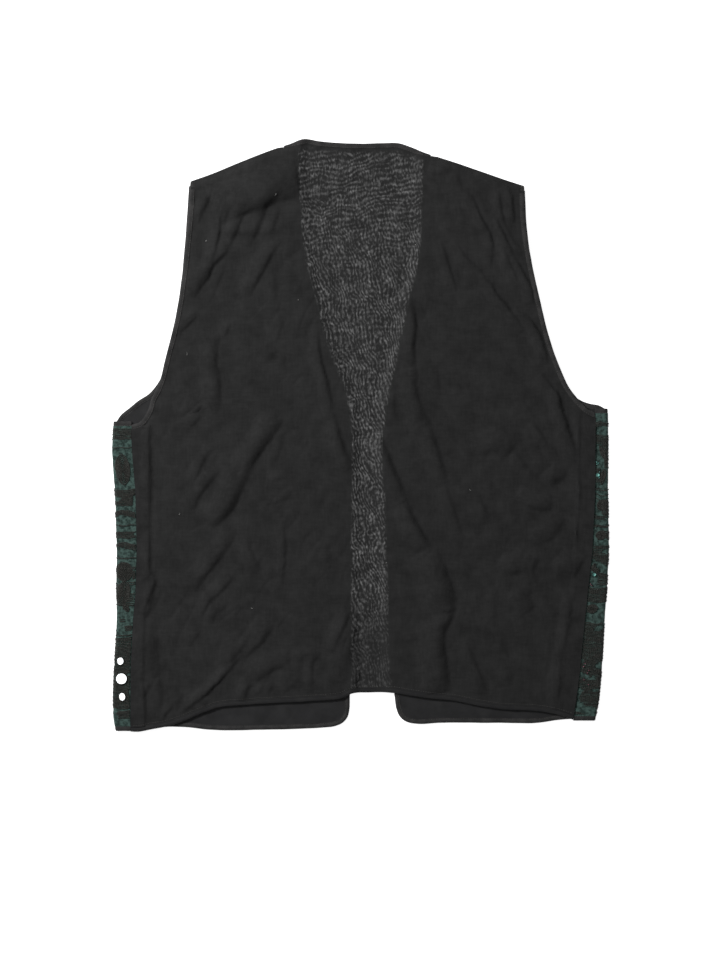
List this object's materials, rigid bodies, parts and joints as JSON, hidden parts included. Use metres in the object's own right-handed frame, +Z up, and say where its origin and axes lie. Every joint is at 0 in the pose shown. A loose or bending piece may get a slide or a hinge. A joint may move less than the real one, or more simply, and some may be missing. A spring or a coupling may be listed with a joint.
{
  "type": "embellished folk vest",
  "caption": "Sleeveless folk vest laid flat with its thin plain back up, embroidered velvet fronts under it that wrap the sides as mirrored strips, all edges bound.",
  "frame": {"origin": "bottom centre of the bounding box, on the surface that the vest lies on", "axes": "+Y towards the neck, along the vest's length; +X across the back towards the wearer's right side as laid; +Z up, away from the surface"},
  "size_m": [0.5458, 0.6519, 0.0091],
  "materials": {
    "black_voile": "thin plain-woven black cloth, sheer where no front lies below it, soft creases",
    "black_binding": "narrow black cotton binding with one row of topstitch",
    "green_velvet": "dark green velvet covered in black thread embroidery, with small beads and sequins",
    "black_lining": "smooth black lining cloth",
    "mirror_glass": "small round mirrors held down by thread"
  },
  "bodies": {
    "root": {"back": "black_voile", "hem_binding": "black_binding", "neck_binding": "black_binding", "armhole_binding_left": "black_binding", "armhole_binding_right": "black_binding", "front_left": "green_velvet", "front_right": "green_velvet", "front_lining_left": "black_lining", "front_lining_right": "black_lining", "front_edge_binding_left": "black_binding", "front_edge_binding_right": "black_binding", "front_armhole_binding_left": "black_binding", "front_armhole_binding_right": "black_binding", "mirror_1": "mirror_glass", "mirror_2": "mirror_glass", "mirror_3": "mirror_glass"}
  },
  "joints": []
}
